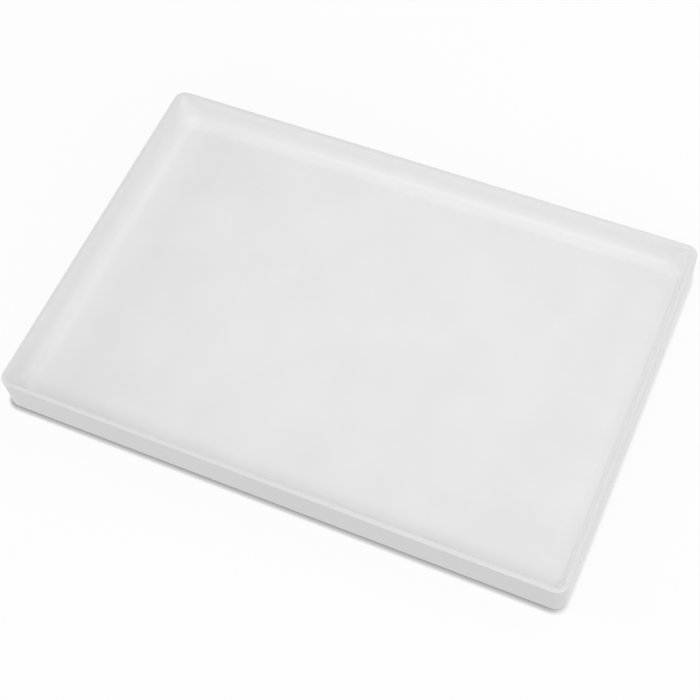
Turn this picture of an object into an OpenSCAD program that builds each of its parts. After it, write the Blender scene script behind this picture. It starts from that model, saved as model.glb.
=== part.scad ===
// Wet palette: an open moulded tray, a reservoir pad that lies on its floor and
// holds the water, and a membrane sheet that lies on the pad and turns up at the
// cove. Millimetres, +Z up, origin at the centre of the tray's underside, X along
// the tray's length.

/* [Tray] */
// Length over the outer walls
tray_length = 300; // [240:1:400]
// Width over the outer walls
tray_width = 200; // [150:1:300]
// Height from the underside to the top of the rim
tray_height = 22.5; // [20:0.5:40]
// Thickness of the walls, which is the width of the rim
wall = 2.5; // [1.6:0.1:3]
// Thickness of the floor
floor_thickness = 2.5; // [1.6:0.1:3]
// Outer radius of the upright corners
corner_radius = 6; // [5:0.5:9]
// Radius of the cove between the inside walls and the floor
cove_radius = 12; // [9:0.5:14]
// Rounding of the two edges of the rim
rim_rounding = 0.5; // [0.2:0.1:0.7]
// Rounding of the outer edge round the underside
base_rounding = 1.5; // [0.5:0.1:2.5]
// Straight height of the inside corners below the rim, before they widen
corner_land = 2; // [1:0.5:3]

/* [Reservoir pad] */
// Thickness of the damp pad
pad_thickness = 1.5; // [0.8:0.1:2.5]
// Radius of the pad's corners in plan
pad_corner = 4; // [1:0.5:10]
// Rounding of the pad's edges
pad_rounding = 0.35; // [0.1:0.05:0.35]
// Clearance between the pad and the foot of the cove
pad_clearance = 0.5; // [0.2:0.1:1.5]

/* [Membrane sheet] */
// Thickness of the sheet
sheet_thickness = 0.15; // [0.1:0.05:0.3]
// Radius of the bend that turns the sheet's margin up
margin_radius = 7.2; // [4:0.2:8]
// Clearance between the edge of the margin and the cove
margin_clearance = 0.1; // [0.05:0.05:0.3]

/* [Fits] */
// Clearance under each layer that lies in the tray
layer_clearance = 0.1; // [0.05:0.05:0.3]

/* [Hidden] */
$fn = 96;

// Facets round a full turn of the inside form, which is a hull
form_facets = 72;
// How far a cutting form passes the face that it opens
overrun = 1;
// How far the rounding of the rim's inner edge stops short of the wall's face,
// so that the two meet at an angle and not edge to edge
rounding_bite = 0.02;

inner_length = tray_length - 2 * wall;
inner_width = tray_width - 2 * wall;
inner_corner = corner_radius - wall;
// How far the rounding of the rim's inner edge reaches outwards from the wall's face
rim_reach = rim_rounding - rounding_bite;

pad_length = inner_length - 2 * (cove_radius + pad_clearance);
pad_width = inner_width - 2 * (cove_radius + pad_clearance);
pad_base = floor_thickness + layer_clearance;

sheet_base = pad_base + pad_thickness + layer_clearance;
// The margin bends up until it lies along the cove, so the two arcs touch there,
// less the clearance. This is the distance between their centres, and its drop.
centre_distance = cove_radius - margin_clearance - margin_radius;
centre_drop = floor_thickness + cove_radius - sheet_base - margin_radius;
// Slope of the sheet and the cove where the margin ends
margin_angle = acos(centre_drop / centre_distance);
margin_run = margin_radius * sin(margin_angle);
// Plan distance of the margin's edge from the centre of the cove's arc
edge_reach = (cove_radius - margin_clearance) * sin(margin_angle);
sheet_length = inner_length - 2 * (cove_radius - edge_reach);
sheet_width = inner_width - 2 * (cove_radius - edge_reach);

// Repeats what is drawn for the corner at +X and +Y at all four corners of a
// rectangle, mirrored
module at_corners(length, width) {
    for (x = [0, 1], y = [0, 1])
        mirror([x, 0, 0])
            mirror([0, y, 0])
                translate([length / 2, width / 2, 0])
                    children();
}

// Sweeps a half profile round a rectangle with round corners. The profile is
// drawn from the axis out to $half, and is repeated at the corners, where $half
// is their radius, and along both lengths of the rectangle.
module round_rectangle(length, width, corner) {
    at_corners(length - 2 * corner, width - 2 * corner)
        rotate_extrude(angle = 90)
            let ($half = corner) children();
    rotate([90, 0, 90])
        linear_extrude(length - 2 * corner, center = true)
            let ($half = width / 2) both_halves() children();
    rotate([90, 0, 0])
        linear_extrude(width - 2 * corner, center = true)
            let ($half = length / 2) both_halves() children();
}

module both_halves() {
    children();
    mirror([1, 0])
        children();
}

// Half profile of a slab whose lower and upper edges are rounded
module slab_profile(base, height, low, high) {
    translate([0, base]) {
        translate([0, low])
            square([$half, height - low - high]);
        square([$half - low, height / 2]);
        translate([0, height / 2])
            square([$half - high, height / 2]);
        translate([$half - low, low])
            circle(low);
        translate([$half - high, height - high])
            circle(high);
    }
}

// Half profile that rounds the inner edge of the rim: it widens by a concave
// quarter round up to the top of the rim and runs straight past it
module mouth_profile() {
    translate([0, tray_height - rim_rounding])
        difference() {
            square([$half, rim_rounding + overrun]);
            translate([$half, 0])
                circle(rim_rounding);
        }
}

// Ball that shapes the cove in a corner, with its lowest point on the floor
module cove_ball() {
    translate([0, 0, floor_thickness + cove_radius])
        rotate_extrude($fn = form_facets)
            intersection() {
                circle(cove_radius, $fn = form_facets);
                translate([0, -cove_radius])
                    square([cove_radius, 2 * cove_radius]);
            }
}

// Inside form of the tray: upright walls, a cove all round the floor, and corners
// that widen from the rim's inner radius to the ball of the cove
module inside_form() {
    hull() {
        at_corners(inner_length - 2 * cove_radius, inner_width - 2 * cove_radius)
            cove_ball();
        at_corners(inner_length - 2 * inner_corner, inner_width - 2 * inner_corner)
            translate([0, 0, tray_height - corner_land])
                cylinder(h = corner_land + overrun, r = inner_corner, $fn = form_facets);
    }
}

// Moulded tray: one shell with an even wall, a rounded rim and a flat underside
module tray() {
    color("whitesmoke")
        difference() {
            round_rectangle(tray_length, tray_width, corner_radius)
                slab_profile(0, tray_height, base_rounding, rim_rounding);
            inside_form();
            round_rectangle(inner_length + 2 * rim_reach, inner_width + 2 * rim_reach,
                            inner_corner + rim_reach)
                mouth_profile();
        }
}

// Absorbent pad, cut to the flat part of the tray's floor
module reservoir_pad() {
    color("white")
        round_rectangle(pad_length, pad_width, pad_corner)
            slab_profile(pad_base, pad_thickness, pad_rounding, pad_rounding);
}

// Half profile of the sheet: flat over the pad, then an arc up to the margin's edge
module sheet_profile() {
    flat = $half - margin_run;
    translate([0, sheet_base])
        square([flat, sheet_thickness]);
    translate([flat, sheet_base + margin_radius])
        intersection() {
            difference() {
                circle(margin_radius);
                circle(margin_radius - sheet_thickness);
            }
            polygon(2 * margin_radius * [
                [0, 0],
                [0, -1],
                [sin(margin_angle), -cos(margin_angle)]
            ]);
        }
}

// Membrane sheet, with its margin turned up all round against the cove
module membrane_sheet() {
    color("ivory")
        round_rectangle(sheet_length, sheet_width, edge_reach)
            sheet_profile();
}

tray();
reservoir_pad();
membrane_sheet();
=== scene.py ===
"""Dresses the wet palette: the moulded tray, the damp pad in it and the sheet on top.

Metres, +Z up, origin at the centre of the tray's underside, X along its length.
"""

import logging
import math
from collections.abc import Callable
from dataclasses import dataclass, field
from enum import Enum

import bmesh
import bpy
from bmesh.types import BMEdge, BMesh, BMVert
from mathutils import Matrix, Vector, noise


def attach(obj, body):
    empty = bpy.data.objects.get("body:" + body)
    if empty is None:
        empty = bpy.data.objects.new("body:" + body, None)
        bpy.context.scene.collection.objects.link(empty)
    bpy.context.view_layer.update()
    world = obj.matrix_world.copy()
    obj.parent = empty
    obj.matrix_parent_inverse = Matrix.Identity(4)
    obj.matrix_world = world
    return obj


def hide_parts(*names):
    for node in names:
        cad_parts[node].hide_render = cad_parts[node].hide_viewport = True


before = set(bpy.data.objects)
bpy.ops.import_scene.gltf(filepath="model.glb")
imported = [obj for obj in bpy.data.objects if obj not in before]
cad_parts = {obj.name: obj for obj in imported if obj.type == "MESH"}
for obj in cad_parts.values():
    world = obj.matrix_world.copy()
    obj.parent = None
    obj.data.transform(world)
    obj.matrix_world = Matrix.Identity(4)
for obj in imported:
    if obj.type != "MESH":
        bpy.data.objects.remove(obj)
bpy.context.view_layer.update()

log = logging.getLogger("wet_palette")

Place = Callable[[Vector], Vector]
Colour = tuple[float, float, float]
Span = tuple[float, float]

# Two points closer than this, in metres, are one
SEAM = 1e-6


class Body(Enum):
    """The bodies of the palette that can move apart."""

    TRAY = "tray"
    PAD = "pad"
    SHEET = "sheet"


class Slot(Enum):
    """The material slots of the record."""

    TRAY = "tray_plastic"
    PAD = "pad_felt"
    SHEET = "sheet_paper"


# ---------------------------------------------------------------- finishes


def new_surface(name: str) -> tuple[bpy.types.Material, bpy.types.NodeTree, bpy.types.Node]:
    """Starts a node material.

    Args:
        name: The material's name.

    Returns:
        The material, its node tree and its Principled shader.
    """
    material = bpy.data.materials.new(name)
    material.use_nodes = True
    tree = material.node_tree
    return material, tree, tree.nodes["Principled BSDF"]


def pattern(
    tree: bpy.types.NodeTree, place: bpy.types.Node, scale: float, detail: float, rough: float = 0.5
) -> bpy.types.NodeSocket:
    """Adds a noise pattern on the object's own coordinates.

    Args:
        tree: The node tree to add it to.
        place: The Texture Coordinate node.
        scale: Cells in a metre.
        detail: Octaves of finer noise.
        rough: How strong each finer octave is.

    Returns:
        The pattern's grey output.
    """
    node = tree.nodes.new("ShaderNodeTexNoise")
    node.inputs["Scale"].default_value = scale
    node.inputs["Detail"].default_value = detail
    node.inputs["Roughness"].default_value = rough
    tree.links.new(place.outputs["Object"], node.inputs["Vector"])
    return node.outputs["Fac"]


def spread(
    tree: bpy.types.NodeTree, source: bpy.types.NodeSocket, low: float, high: float
) -> bpy.types.NodeSocket:
    """Maps the useful middle of a noise pattern to a range.

    Args:
        tree: The node tree.
        source: The pattern, about 0.3 to 0.7.
        low: What its low side becomes.
        high: What its high side becomes.

    Returns:
        The mapped value.
    """
    node = tree.nodes.new("ShaderNodeMapRange")
    node.inputs["From Min"].default_value = 0.3
    node.inputs["From Max"].default_value = 0.7
    node.inputs["To Min"].default_value = low
    node.inputs["To Max"].default_value = high
    tree.links.new(source, node.inputs["Value"])
    return node.outputs["Result"]


def tint(
    tree: bpy.types.NodeTree, amount: bpy.types.NodeSocket, *ends: Colour | bpy.types.NodeSocket
) -> bpy.types.NodeSocket:
    """Blends two colours.

    Args:
        tree: The node tree.
        amount: 0 for the first colour, 1 for the second.
        ends: The two colours, each linear red, green and blue or another blend.

    Returns:
        The blended colour.
    """
    node = tree.nodes.new("ShaderNodeMix")
    node.data_type = "RGBA"
    # A Mix node has its sockets once for each kind of value, and 6, 7 and 2 are for colours
    for colour, socket in zip(ends, (node.inputs[6], node.inputs[7])):
        if isinstance(colour, tuple):
            socket.default_value = (*colour, 1)
        else:
            tree.links.new(colour, socket)
    tree.links.new(amount, node.inputs[0])
    return node.outputs[2]


def relief(
    tree: bpy.types.NodeTree,
    height: bpy.types.NodeSocket,
    depth: float,
    under: bpy.types.NodeSocket | None = None,
) -> bpy.types.NodeSocket:
    """Turns a pattern into fine relief.

    Args:
        tree: The node tree.
        height: The pattern.
        depth: Height of the relief in metres.
        under: The normal of a coarser relief below this one.

    Returns:
        The normal.
    """
    node = tree.nodes.new("ShaderNodeBump")
    node.inputs["Strength"].default_value = 1
    node.inputs["Distance"].default_value = depth
    tree.links.new(height, node.inputs["Height"])
    if under is not None:
        tree.links.new(under, node.inputs["Normal"])
    return node.outputs["Normal"]


def height_share(
    tree: bpy.types.NodeTree, place: bpy.types.Node, low: float, high: float
) -> bpy.types.NodeSocket:
    """Tells how high up a point is between two heights.

    Args:
        tree: The node tree.
        place: The Texture Coordinate node.
        low: The height up to which the share is 0.
        high: The height from which on it is 1.

    Returns:
        The share.
    """
    parts = tree.nodes.new("ShaderNodeSeparateXYZ")
    tree.links.new(place.outputs["Object"], parts.inputs[0])
    node = tree.nodes.new("ShaderNodeMapRange")
    node.inputs["From Min"].default_value = low
    node.inputs["From Max"].default_value = high
    tree.links.new(parts.outputs["Z"], node.inputs["Value"])
    return node.outputs["Result"]


@dataclass(frozen=True)
class MouldedPlastic:
    """White moulded plastic with a satin skin, as it comes from a polished mould."""

    colour: Colour = (0.834, 0.833, 0.834)
    shade: Colour = (0.816, 0.815, 0.817)
    # Painted shade: the rim top turns to this darker tone between the two heights below the rim's
    # height.
    painted_rim_shade: Colour = (0.757, 0.756, 0.757)
    rim_height: float = 0.0225
    rim_shade_from: float = 0.0007
    rim_shade_to: float = 0.0001
    roughness: Span = (0.34, 0.42)
    gloss: float = 0.5
    skin: float = 0.8
    skin_roughness: float = 0.2
    flow: float = 9.0
    flow_depth: float = 0.00012
    grain: float = 1400.0
    grain_depth: float = 0.0000015

    def material(self) -> bpy.types.Material:
        """Builds the finish: broad flow marks, a fine mould grain, a soft sheen and a painted shade
        on the rim top.
        """
        material, tree, shader = new_surface("tray_satin_plastic")
        place = tree.nodes.new("ShaderNodeTexCoord")
        broad = pattern(tree, place, self.flow, 2)
        fine = pattern(tree, place, self.grain, 3)
        plain = tint(tree, spread(tree, broad, 0, 1), self.colour, self.shade)
        # Painted shade: the colour darkens to the rim tone over the top 0.7 mm of the rim.
        rim_shade = height_share(
            tree, place, self.rim_height - self.rim_shade_from, self.rim_height - self.rim_shade_to
        )
        tree.links.new(tint(tree, rim_shade, plain, self.painted_rim_shade), shader.inputs["Base Color"])
        tree.links.new(spread(tree, broad, *self.roughness), shader.inputs["Roughness"])
        waves = relief(tree, broad, self.flow_depth)
        tree.links.new(relief(tree, fine, self.grain_depth, waves), shader.inputs["Normal"])
        shader.inputs["Specular IOR Level"].default_value = self.gloss
        shader.inputs["Coat Weight"].default_value = self.skin
        shader.inputs["Coat Roughness"].default_value = self.skin_roughness
        return material


@dataclass(frozen=True)
class DampFelt:
    """White needled felt, darker where it holds more water."""

    dry: Colour = (0.74, 0.735, 0.72)
    wet: Colour = (0.66, 0.66, 0.65)
    roughness: Span = (0.9, 0.75)
    patch: float = 22.0
    fibre: float = 2600.0
    fibre_depth: float = 0.00008
    tuft: float = 420.0
    tuft_depth: float = 0.0002
    gloss: float = 0.25
    fuzz: float = 0.15
    fuzz_roughness: float = 0.6

    def material(self) -> bpy.types.Material:
        """Builds the finish: matted fibres, needle tufts and broad damp patches."""
        material, tree, shader = new_surface("pad_damp_felt")
        place = tree.nodes.new("ShaderNodeTexCoord")
        damp = pattern(tree, place, self.patch, 3)
        tufts = pattern(tree, place, self.tuft, 2, 0.6)
        fibres = pattern(tree, place, self.fibre, 5, 0.7)
        felt = tint(tree, spread(tree, damp, 0, 1), self.dry, self.wet)
        tree.links.new(felt, shader.inputs["Base Color"])
        tree.links.new(spread(tree, damp, *self.roughness), shader.inputs["Roughness"])
        bumps = relief(tree, tufts, self.tuft_depth)
        tree.links.new(relief(tree, fibres, self.fibre_depth, bumps), shader.inputs["Normal"])
        shader.inputs["Specular IOR Level"].default_value = self.gloss
        shader.inputs["Sheen Weight"].default_value = self.fuzz
        shader.inputs["Sheen Roughness"].default_value = self.fuzz_roughness
        return material


@dataclass(frozen=True)
class MembranePaper:
    """Damp white membrane paper, faintly cloudy, whose thin edge takes the tray's tone."""

    colour: Colour = (0.876, 0.876, 0.875)
    cloud: Colour = (0.842, 0.842, 0.843)
    # The sheet turns to this tone, close to the tray's, between the two heights below.
    edge_tone: Colour = (0.84, 0.84, 0.84)
    edge_from: float = 0.0048
    edge_to: float = 0.0066
    roughness: Span = (0.45, 0.55)
    gloss: float = 0.4
    cloudiness: float = 26.0
    tooth: float = 1900.0
    tooth_depth: float = 0.000006

    def material(self) -> bpy.types.Material:
        """Builds the finish: cloudy fibre, a fine tooth and the sheen of water in it."""
        material, tree, shader = new_surface("sheet_membrane_paper")
        place = tree.nodes.new("ShaderNodeTexCoord")
        clouds = pattern(tree, place, self.cloudiness, 4, 0.55)
        tooth = pattern(tree, place, self.tooth, 4, 0.6)
        edge = height_share(tree, place, self.edge_from, self.edge_to)
        paper = tint(tree, spread(tree, clouds, 0, 1), self.colour, self.cloud)
        tree.links.new(tint(tree, edge, paper, self.edge_tone), shader.inputs["Base Color"])
        tree.links.new(spread(tree, clouds, *self.roughness), shader.inputs["Roughness"])
        tree.links.new(relief(tree, tooth, self.tooth_depth), shader.inputs["Normal"])
        shader.inputs["Specular IOR Level"].default_value = self.gloss
        return material


# ---------------------------------------------------------------- shapes


@dataclass
class Outline:
    """A rectangle with round corners, seen in plan."""

    half_length: float
    half_width: float
    corner: float
    steps: int = 18

    def shrunk(self, inset: float, corner: float | None = None) -> "Outline":
        """Moves the outline inwards.

        Args:
            inset: How far each side moves in.
            corner: The new corner radius, or None for one about the same centres.

        Returns:
            The smaller outline.
        """
        radius = self.corner - inset if corner is None else corner
        return Outline(self.half_length - inset, self.half_width - inset, radius, self.steps)

    def ring(self, mesh: BMesh, height: float) -> list[BMEdge]:
        """Draws the outline as a closed ring of edges.

        Args:
            mesh: The mesh to draw it in.
            height: Its height.

        Returns:
            The ring's edges.
        """
        verts = bmesh.ops.create_grid(mesh, x_segments=1, y_segments=1, size=1)["verts"]
        bmesh.ops.scale(mesh, vec=(self.half_length, self.half_width, 1), verts=verts)
        bmesh.ops.translate(mesh, vec=(0, 0, height), verts=verts)
        rounded = bmesh.ops.bevel(
            mesh, geom=verts, offset=self.corner, offset_type="OFFSET", segments=self.steps,
            profile=0.5, affect="VERTICES", material=-1,
        )
        face = max(
            {f for v in rounded["verts"] for f in v.link_faces}, key=lambda f: f.calc_area()
        )
        edges = list(face.edges)
        bmesh.ops.delete(mesh, geom=[face], context="FACES_ONLY")
        return edges


@dataclass
class Row:
    """One ring of a shell: its plan, and where each of its points goes."""

    plan: Outline
    place: Place

    @classmethod
    def level(cls, plan: Outline, height: float) -> "Row":
        """A ring that lies level at one height."""
        return cls(plan, lambda point: Vector((point.x, point.y, height)))


def lofted(mesh: BMesh, rows: list[Row]) -> list[list[BMEdge]]:
    """Stacks the rings 10 mm apart, joins each to the next and then moves them to their places.

    Args:
        mesh: The mesh to draw in.
        rows: The rings in order.

    Returns:
        The edges of each ring.
    """
    rings = [row.plan.ring(mesh, 0.01 * k) for k, row in enumerate(rows)]
    for first, second in zip(rings, rings[1:]):
        bmesh.ops.bridge_loops(mesh, edges=first + second)
    for row, ring in zip(rows, rings):
        for vert in {v for e in ring for v in e.verts}:
            vert.co = row.place(vert.co)
    return rings


def closed(mesh: BMesh, ring: list[BMEdge], hold: float) -> None:
    """Closes a ring with a flat face that keeps its own shading up to near its edge.

    Args:
        mesh: The mesh that holds it.
        ring: The ring's edges.
        hold: Width of the band inside the ring that takes up the change of slope.
    """
    faces = bmesh.ops.contextual_create(mesh, geom=ring)["faces"]
    bmesh.ops.inset_region(mesh, faces=faces, thickness=hold, use_even_offset=True)


def finished(mesh: BMesh, name: str, material: bpy.types.Material) -> bpy.types.Object:
    """Closes the seams, turns the faces outwards and makes the object.

    Args:
        mesh: The finished mesh.
        name: The object's name.
        material: Its material.

    Returns:
        The object, at the origin.
    """
    bmesh.ops.remove_doubles(mesh, verts=mesh.verts, dist=SEAM)
    bmesh.ops.recalc_face_normals(mesh, faces=mesh.faces)
    for face in mesh.faces:
        face.smooth = True
    data = bpy.data.meshes.new(name)
    mesh.to_mesh(data)
    mesh.free()
    data.materials.append(material)
    piece = bpy.data.objects.new(name, data)
    bpy.context.scene.collection.objects.link(piece)
    return piece


def report(piece: bpy.types.Object) -> None:
    """Logs a piece's name, its face count and its box in millimetres."""
    corners = [piece.matrix_world @ Vector(c) for c in piece.bound_box]
    size = [1000 * (max(c[i] for c in corners) - min(c[i] for c in corners)) for i in range(3)]
    log.info("%s: %d faces, %.1f x %.1f x %.1f mm", piece.name, len(piece.data.polygons), *size)


# ---------------------------------------------------------------- pieces


@dataclass
class Tray:
    """The moulded tray: outer walls, rim, and an inside with a cove all round."""

    length: float = 0.300
    width: float = 0.200
    height: float = 0.0225
    wall: float = 0.0025
    floor: float = 0.0025
    corner: float = 0.006
    cove: float = 0.012
    rim_rounding: float = 0.0005
    base_rounding: float = 0.0015
    land: float = 0.002
    hold: float = 0.0004
    flat_hold: float = 0.001
    base_steps: int = 6
    rim_steps: int = 5
    corner_shares: tuple[float, ...] = (0, 0.06, 0.2, 0.4, 0.6, 0.8, 0.94)
    cove_steps: int = 16
    finish: MouldedPlastic = field(default_factory=MouldedPlastic)

    @property
    def outer(self) -> Outline:
        """The outline of the outer walls."""
        return Outline(self.length / 2, self.width / 2, self.corner)

    @property
    def inner(self) -> Outline:
        """The outline of the inside walls at the rim."""
        return self.outer.shrunk(self.wall)

    @property
    def cove_centre(self) -> Vector:
        """The centre of the ball that shapes the cove in the corner at +X and +Y."""
        return Vector(
            (self.inner.half_length - self.cove, self.inner.half_width - self.cove,
             self.floor + self.cove)
        )

    def rounding(self, radius: float, inset: float, height: float, start: int, end: int,
                 steps: int) -> list[Row]:
        """Gives the rings of a rounded edge.

        Args:
            radius: Radius of the rounding.
            inset: How far its centre lies inside the outer walls.
            height: Height of its centre.
            start: Angle of the first ring in degrees, 0 outwards and 90 up.
            end: Angle of the last ring.
            steps: Bands between them.

        Returns:
            The rings.
        """
        rows = []
        for k in range(steps + 1):
            angle = math.radians(start + (end - start) * k / steps)
            outline = self.outer.shrunk(inset - radius * math.cos(angle))
            rows.append(Row.level(outline, height + radius * math.sin(angle)))
        return rows

    def lean(self, angle: float) -> float:
        """The slope at which the corner above the cove meets the cove's ball.

        Args:
            angle: Direction in plan from the ball's centre.

        Returns:
            Angle of the ball's surface there, below level, in radians.
        """
        aside = self.cove - self.inner.corner
        across = aside * (math.cos(angle) + math.sin(angle)) + self.inner.corner
        up = self.height - self.land - self.cove_centre.z
        reach = math.hypot(across, up)
        return math.acos(min(1, self.cove / reach)) - math.atan2(up, across)

    def corner_place(self, share: float, turn: float) -> Place:
        """Says where the points of an inside ring go.

        Args:
            share: 0 at the foot of the straight land, 1 where the corner meets the ball.
            turn: How far the ring has gone down the ball, from 0 to 1 at the floor.

        Returns:
            A function from a point of the cove's plan outline to its place.
        """
        centre = self.cove_centre
        aside = self.cove - self.inner.corner
        top = self.height - self.land

        def place(point: Vector) -> Vector:
            side = Vector((math.copysign(1, point.x), math.copysign(1, point.y)))
            across = max(abs(point.x) - centre.x, 0)
            along = max(abs(point.y) - centre.y, 0)
            angle = math.atan2(along, across)
            slope = self.lean(angle)
            slope += (math.pi / 2 - slope) * turn
            ball = Vector(
                (math.cos(slope) * math.cos(angle), math.cos(slope) * math.sin(angle),
                 -math.sin(slope))
            ) * self.cove + centre
            post = Vector(
                (centre.x + aside + self.inner.corner * math.cos(angle),
                 centre.y + aside + self.inner.corner * math.sin(angle), top)
            )
            found = post.lerp(ball, share)
            return Vector((found.x * side.x, found.y * side.y, found.z))

        return place

    def shell(self, mesh: BMesh) -> None:
        """Draws the tray from its underside round the rim to its floor.

        Args:
            mesh: The mesh to draw in.
        """
        base, rim, hold = self.base_rounding, self.rim_rounding, self.hold
        foot = self.height - rim
        rows = self.rounding(base, base, base, -90, 0, self.base_steps)
        rows.append(Row.level(self.outer, base + hold))
        rows.append(Row.level(self.outer, foot - hold))
        rows += self.rounding(rim, rim, foot, 0, 90, self.rim_steps)
        rows.append(Row.level(self.outer.shrunk(rim + hold / 2), self.height))
        rows.append(Row.level(self.outer.shrunk(self.wall - rim - hold / 2), self.height))
        rows += self.rounding(rim, self.wall - rim, foot, 90, 180, self.rim_steps)
        rows.append(Row.level(self.inner, foot - hold))
        plan = self.inner.shrunk(0, self.cove)
        rows += [Row(plan, self.corner_place(share, 0)) for share in self.corner_shares]
        turns = [k / self.cove_steps for k in range(self.cove_steps + 1)]
        rows += [Row(plan, self.corner_place(1, turn)) for turn in turns]
        rings = lofted(mesh, rows)
        closed(mesh, rings[0], self.flat_hold)
        bmesh.ops.remove_doubles(mesh, verts=mesh.verts, dist=SEAM)
        closed(mesh, [e for e in mesh.edges if e.is_boundary], self.flat_hold)

    def build(self) -> None:
        """Builds the tray and puts it in place of its solid."""
        mesh = bmesh.new()
        self.shell(mesh)
        piece = finished(mesh, "tray_shell", self.finish.material())
        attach(piece, Body.TRAY.value)
        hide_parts("tray")
        report(piece)


def swell(point: Vector, scale: float, depth: float) -> float:
    """Reads smooth noise at a point in plan.

    Args:
        point: The point.
        scale: Waves in a metre.
        depth: The level of the noise that is read, which tells two patterns apart.

    Returns:
        A value from about -1 to 1.
    """
    return noise.noise(Vector((point.x * scale, point.y * scale, depth)))


@dataclass
class Layer:
    """What the pad and the sheet share: a fine grid that fits the tray's round corners."""

    half_length: float
    half_width: float
    corner: float
    cell: float
    edge_cells: int

    def even(self, share: float, half: float, margin: float) -> float:
        """Moves a grid line so that the cells are finer along the edge.

        Args:
            share: The line's place from -1 to 1.
            half: Half the layer's size that way.
            margin: Share of the grid's half that the edge cells take.

        Returns:
            The line's place in metres.
        """
        flat = half - self.corner
        part = abs(share)
        inner = 1 - margin
        at = flat * part / inner if part < inner else flat + self.corner * (part - inner) / margin
        return math.copysign(at, share)

    def wrapped(self, x: float, y: float) -> Vector:
        """Moves a point of the square grid onto the layer's round corners.

        Args:
            x: The point's place along the length.
            y: The point's place across the width.

        Returns:
            Its place in plan.
        """
        a = abs(x) - (self.half_length - self.corner)
        b = abs(y) - (self.half_width - self.corner)
        if a > 0 and b > 0:
            turn = math.pi / 4 * (b / a if a >= b else 2 - a / b)
            reach = max(a, b)
            a, b = reach * math.cos(turn), reach * math.sin(turn)
            x = math.copysign(self.half_length - self.corner + a, x)
            y = math.copysign(self.half_width - self.corner + b, y)
        return Vector((x, y, 0))

    def outward(self, point: Vector) -> float:
        """How far a point lies outside the rectangle of the corners' centres."""
        a = max(abs(point.x) - (self.half_length - self.corner), 0)
        b = max(abs(point.y) - (self.half_width - self.corner), 0)
        return math.hypot(a, b)

    def grid(self, mesh: BMesh) -> list[BMVert]:
        """Draws the flat grid with its round corners.

        Args:
            mesh: The mesh to draw in.

        Returns:
            Its vertices.
        """
        counts, margins = [], []
        for half in (self.half_length, self.half_width):
            flat = round((half - self.corner) / self.cell)
            counts.append(2 * (flat + self.edge_cells))
            margins.append(self.edge_cells / (flat + self.edge_cells))
        verts = bmesh.ops.create_grid(mesh, x_segments=counts[0], y_segments=counts[1], size=1)[
            "verts"
        ]
        for vert in verts:
            vert.co = self.wrapped(
                self.even(vert.co.x, self.half_length, margins[0]),
                self.even(vert.co.y, self.half_width, margins[1]),
            )
        return verts


@dataclass
class ReservoirPad:
    """The damp felt pad on the tray's floor, with soft, slightly fallen edges."""

    layer: Layer = field(
        default_factory=lambda: Layer(0.1349, 0.0849, corner=0.004, cell=0.0025, edge_cells=4)
    )
    base: float = 0.0026
    thickness: float = 0.0015
    softness: float = 0.00035
    side_slope: float = 60
    lumps: float = 0.00009
    lump_scale: float = 55
    finish: DampFelt = field(default_factory=DampFelt)

    def build(self) -> bpy.types.Object:
        """Builds the pad and puts it in place of its solid.

        Returns:
            The pad.
        """
        mesh = bmesh.new()
        verts = self.layer.grid(mesh)
        bmesh.ops.translate(mesh, vec=(0, 0, self.base), verts=verts)
        top = bmesh.ops.extrude_face_region(mesh, geom=mesh.faces[:])["geom"]
        raised = [v for v in top if isinstance(v, BMVert)]
        bmesh.ops.translate(mesh, vec=(0, 0, self.thickness), verts=raised)
        sides = [
            e for e in mesh.edges
            if len(e.link_faces) == 2 and e.calc_face_angle(0) > math.radians(self.side_slope)
            and abs(e.verts[0].co.z - e.verts[1].co.z) < SEAM
        ]
        bmesh.ops.bevel(
            mesh, geom=sides, offset=self.softness, offset_type="OFFSET", segments=3,
            profile=0.5, affect="EDGES", material=-1,
        )
        for vert in mesh.verts:
            if vert.co.z > self.base + self.thickness / 2:
                fall = swell(vert.co, self.lump_scale, 3.1)
                vert.co.z -= self.lumps * (0.5 + 0.5 * fall)
        piece = finished(mesh, "reservoir_felt", self.finish.material())
        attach(piece, Body.PAD.value)
        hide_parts("reservoir_pad")
        report(piece)
        return piece


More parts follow.
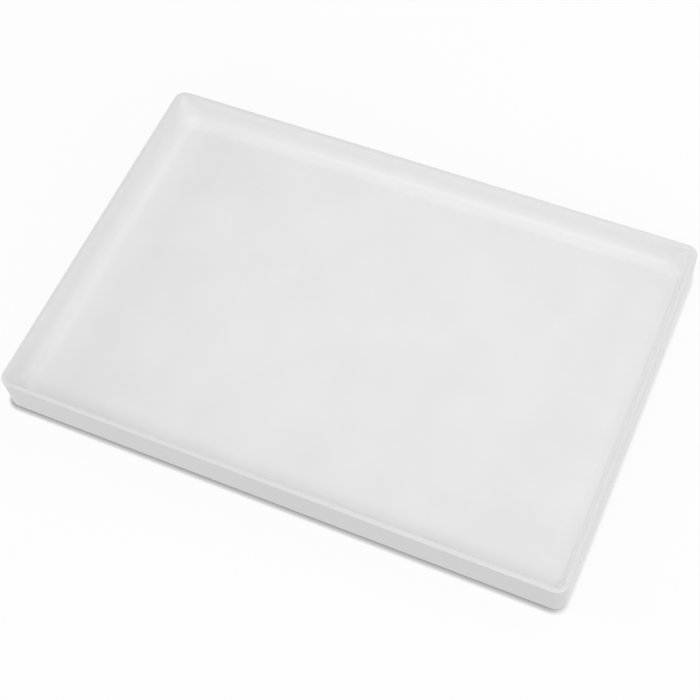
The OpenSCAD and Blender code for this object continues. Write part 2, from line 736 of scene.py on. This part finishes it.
@dataclass
class MembraneSheet:
    """The sheet that the paint is mixed on, whose margins bend up along the cove."""

    layer: Layer = field(
        default_factory=lambda: Layer(0.1444, 0.0944, corner=0.0089, cell=0.0022, edge_cells=16)
    )
    base: float = 0.0042
    thickness: float = 0.00015
    bend: float = 0.0072
    run: float = 0.00537
    ripple: float = 0.00012
    settle: float = 0.00012
    feather: float = 0.0016
    edge_share: float = 0.2
    finish: MembranePaper = field(default_factory=MembranePaper)

    def past_flat(self, point: Vector) -> float:
        """How far out a point lies on the bent margin, 0 on the flat part."""
        return max(self.layer.outward(point) - (self.layer.corner - self.run), 0)

    def rise(self, point: Vector) -> float:
        """Height of the sheet's underside above its flat part.

        Args:
            point: A point of the sheet in plan.

        Returns:
            The height in metres.
        """
        past = self.past_flat(point)
        turned = self.bend - math.sqrt(self.bend**2 - past**2)
        level = 1 - min(past / self.run * 3, 1)
        sunk = max(2 * past / self.run - 1, 0)
        waves = swell(point, 17, 0.7) + 0.5 * swell(point, 41, 5.2)
        return turned - self.settle * sunk**2 + self.ripple * level * (0.75 + 0.5 * waves)

    def depth(self, point: Vector) -> float:
        """Upright thickness of the sheet, which thins out to a feathered edge.

        Args:
            point: A point of the sheet in plan.

        Returns:
            The thickness measured straight up, in metres.
        """
        from_edge = self.layer.corner - self.layer.outward(point)
        share = self.edge_share + (1 - self.edge_share) * min(from_edge / self.feather, 1)
        level = math.sqrt(self.bend**2 - self.past_flat(point) ** 2) / self.bend
        return self.thickness * share / level

    def build(self, pad: bpy.types.Object) -> None:
        """Builds the sheet and puts it in place of its solid.

        Args:
            pad: The pad that it lies on; not used.
        """
        mesh = bmesh.new()
        self.layer.grid(mesh)
        top = bmesh.ops.extrude_face_region(mesh, geom=mesh.faces[:])["geom"]
        raised = {v for v in top if isinstance(v, BMVert)}
        for vert in mesh.verts:
            height = self.base + self.rise(vert.co)
            vert.co.z = height + (self.depth(vert.co) if vert in raised else 0)
        rim = {v for v in mesh.verts if self.layer.outward(v.co) > self.layer.corner - SEAM}
        for edge in mesh.edges:
            edge.smooth = not rim.issuperset(edge.verts)
        piece = finished(mesh, "membrane_paper", self.finish.material())
        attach(piece, Body.SHEET.value)
        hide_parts("membrane_sheet")
        report(piece)


# ---------------------------------------------------------------- studio


def seen_plainly(tree: bpy.types.NodeTree) -> bpy.types.NodeSocket:
    """Tells the rays that see the backdrop from those that carry light.

    Args:
        tree: The node tree of the table or the world.

    Returns:
        1 for the camera's rays, reflections and what passes through, else 0.
    """
    path = tree.nodes.new("ShaderNodeLightPath")
    found = path.outputs["Is Camera Ray"]
    for kind in ("Is Glossy Ray", "Is Transmission Ray"):
        either = tree.nodes.new("ShaderNodeMath")
        either.operation = "MAXIMUM"
        tree.links.new(found, either.inputs[0])
        tree.links.new(path.outputs[kind], either.inputs[1])
        found = either.outputs[0]
    return found


@dataclass
class Table:
    """The pale table under the tray, which shows as plain white, keeps the tray's shadow and has a
    painted contact shade at its foot.
    """

    half: float = 3.0
    own_light: float = 0.84
    shadow_grey: float = 0.16
    bounce_grey: float = 0.15
    painted_shade_reach: float = 0.003
    depth: float = 1.3
    painted_shade_samples: int = 8
    shaded_from: tuple[float, float, float] = (0.6, 0.6, 0.53)

    def material(self) -> bpy.types.Material:
        """A white surface, darkened by the tray's shadow, and close to its front foot by a painted
        contact shade.
        """
        material, tree, shader = new_surface("table_white")
        shader.inputs["Base Color"].default_value = (*[self.bounce_grey] * 3, 1)
        shader.inputs["Roughness"].default_value = 1
        shader.inputs["Specular IOR Level"].default_value = 0
        # Painted contact shade: for the camera's rays the table's glow drops with the occlusion
        # found within a few millimetres along a slant, most by the tray's front foot.
        near = tree.nodes.new("ShaderNodeAmbientOcclusion")
        near.samples = self.painted_shade_samples
        near.inputs["Distance"].default_value = self.painted_shade_reach
        side = tree.nodes.new("ShaderNodeCombineXYZ")
        for socket, share in zip(side.inputs, self.shaded_from):
            socket.default_value = share
        tree.links.new(side.outputs[0], near.inputs["Normal"])
        white = tree.nodes.new("ShaderNodeEmission")
        white.inputs["Color"].default_value = (*[self.own_light] * 3, 1)
        deeper = tree.nodes.new("ShaderNodeMath")
        deeper.operation = "POWER"
        deeper.inputs[1].default_value = self.depth
        tree.links.new(near.outputs["AO"], deeper.inputs[0])
        direct = tree.nodes.new("ShaderNodeMix")
        direct.inputs["A"].default_value = 1
        path = tree.nodes.new("ShaderNodeLightPath")
        tree.links.new(path.outputs["Is Camera Ray"], direct.inputs["Factor"])
        tree.links.new(deeper.outputs[0], direct.inputs["B"])
        tree.links.new(direct.outputs["Result"], white.inputs["Strength"])
        shade = tree.nodes.new("ShaderNodeBsdfDiffuse")
        shade.inputs["Color"].default_value = (*[self.shadow_grey] * 3, 1)
        shown = tree.nodes.new("ShaderNodeAddShader")
        tree.links.new(white.outputs[0], shown.inputs[0])
        tree.links.new(shade.outputs[0], shown.inputs[1])
        mix = tree.nodes.new("ShaderNodeMixShader")
        tree.links.new(seen_plainly(tree), mix.inputs[0])
        tree.links.new(shader.outputs[0], mix.inputs[1])
        tree.links.new(shown.outputs[0], mix.inputs[2])
        tree.links.new(mix.outputs[0], tree.nodes["Material Output"].inputs["Surface"])
        return material

    def build(self) -> None:
        """Lays the table just under the tray."""
        mesh = bmesh.new()
        bmesh.ops.create_grid(mesh, x_segments=1, y_segments=1, size=self.half)
        piece = finished(mesh, "table", self.material())


def toward(azimuth: float, height: float) -> Vector:
    """Gives a direction from the tray, as a unit vector.

    Args:
        azimuth: Degrees round the tray, 0 in front and 90 to the right.
        height: Degrees above level.

    Returns:
        The direction.
    """
    turn, lift = math.radians(azimuth), math.radians(height)
    return Vector(
        (math.sin(turn) * math.cos(lift), -math.cos(turn) * math.cos(lift), math.sin(lift))
    )


class LampKind(Enum):
    """The two kinds of lamp in the studio."""

    FAR = "SUN"
    NEAR = "AREA"


@dataclass(frozen=True)
class Lamp:
    """One soft studio lamp, far off or near by, that points at the tray."""

    name: str
    kind: LampKind
    azimuth: float
    height: float
    strength: float
    softness: float = 40
    distance: float = 0.804
    side: float = 0.4

    def build(self) -> None:
        """Hangs the lamp and points it at the tray."""
        data = bpy.data.lights.new(self.name, self.kind.value)
        data.energy = self.strength
        if self.kind is LampKind.FAR:
            data.angle = math.radians(self.softness)
        else:
            data.shape = "SQUARE"
            data.size = self.side
        lamp = bpy.data.objects.new(self.name, data)
        place = self.distance * toward(self.azimuth, self.height)
        facing = place.to_track_quat("Z", "Y").to_matrix().to_4x4()
        lamp.matrix_world = Matrix.Translation(place) @ facing
        bpy.context.scene.collection.objects.link(lamp)


@dataclass(frozen=True)
class View:
    """The camera above the near right corner, turned a little."""

    azimuth: float = 31.008
    height: float = 59.859
    roll: float = -8.494
    distance: float = 0.73955
    aim: tuple[float, float, float] = (0.01096, -0.0039, 0)
    frame_px: float = 700
    focal_px: float = 1440.2
    shift_px: float = -20.6
    sensor_mm: float = 36

    def build(self) -> None:
        """Places the camera and makes it the scene's own."""
        back = toward(self.azimuth, self.height)
        right = (-back).cross(Vector((0, 0, 1))).normalized()
        up = right.cross(-back)
        level = Matrix((right, up, back)).transposed()
        turned = level @ Matrix.Rotation(math.radians(self.roll), 3, "Z")
        data = bpy.data.cameras.new("camera")
        data.sensor_width = self.sensor_mm
        data.lens = self.sensor_mm * self.focal_px / self.frame_px
        data.shift_x = self.shift_px / self.frame_px
        data.clip_start = 0.01
        data.clip_end = 20
        camera = bpy.data.objects.new("camera", data)
        place = Vector(self.aim) + back * self.distance
        camera.matrix_world = Matrix.Translation(place) @ turned.to_4x4()
        bpy.context.scene.collection.objects.link(camera)
        bpy.context.scene.camera = camera


@dataclass
class Studio:
    """The lamps, the world and the camera."""

    view: View = field(default_factory=View)
    world_grey: float = 0.453
    lamps: tuple[Lamp, ...] = (
        Lamp("front_top", LampKind.FAR, 0, 65, 0.532),
        Lamp("front_low", LampKind.FAR, 0, 15, 0.473),
        Lamp("front_right_low", LampKind.FAR, 45, 15, 0.198),
        Lamp("right_low", LampKind.FAR, 90, 15, 0.455),
        Lamp("back_low", LampKind.FAR, 180, 15, 0.262),
        Lamp("back_middle", LampKind.FAR, 180, 40, 0.19),
        Lamp("left_low", LampKind.FAR, 270, 15, 0.799),
        Lamp("box_front_right", LampKind.NEAR, 45, 50.45, 0.6),
        Lamp("box_back_right", LampKind.NEAR, 135, 50.45, 0.32),
    )

    def world(self) -> None:
        """Lights the room evenly and shows it as plain white."""
        world = bpy.data.worlds.new("room")
        world.use_nodes = True
        bpy.context.scene.world = world
        tree = world.node_tree
        fill = tree.nodes["Background"]
        fill.inputs["Color"].default_value = (1, 1, 1, 1)
        fill.inputs["Strength"].default_value = self.world_grey
        seen = tree.nodes.new("ShaderNodeBackground")
        seen.inputs["Color"].default_value = (1, 1, 1, 1)
        mix = tree.nodes.new("ShaderNodeMixShader")
        tree.links.new(seen_plainly(tree), mix.inputs[0])
        tree.links.new(fill.outputs[0], mix.inputs[1])
        tree.links.new(seen.outputs[0], mix.inputs[2])
        tree.links.new(mix.outputs[0], tree.nodes["World Output"].inputs["Surface"])

    def build(self) -> None:
        """Sets up the world, the lamps, the camera and the view."""
        self.world()
        for lamp in self.lamps:
            lamp.build()
        self.view.build()
        bpy.context.scene.view_settings.view_transform = "Standard"


def main() -> None:
    """Builds the palette, the table it stands on and the studio round it."""
    logging.basicConfig(level=logging.INFO, format="%(name)s: %(message)s")
    Studio().build()
    Tray().build()
    pad = ReservoirPad().build()
    MembraneSheet().build(pad)
    Table().build()


if __name__ == "__main__":
    main()
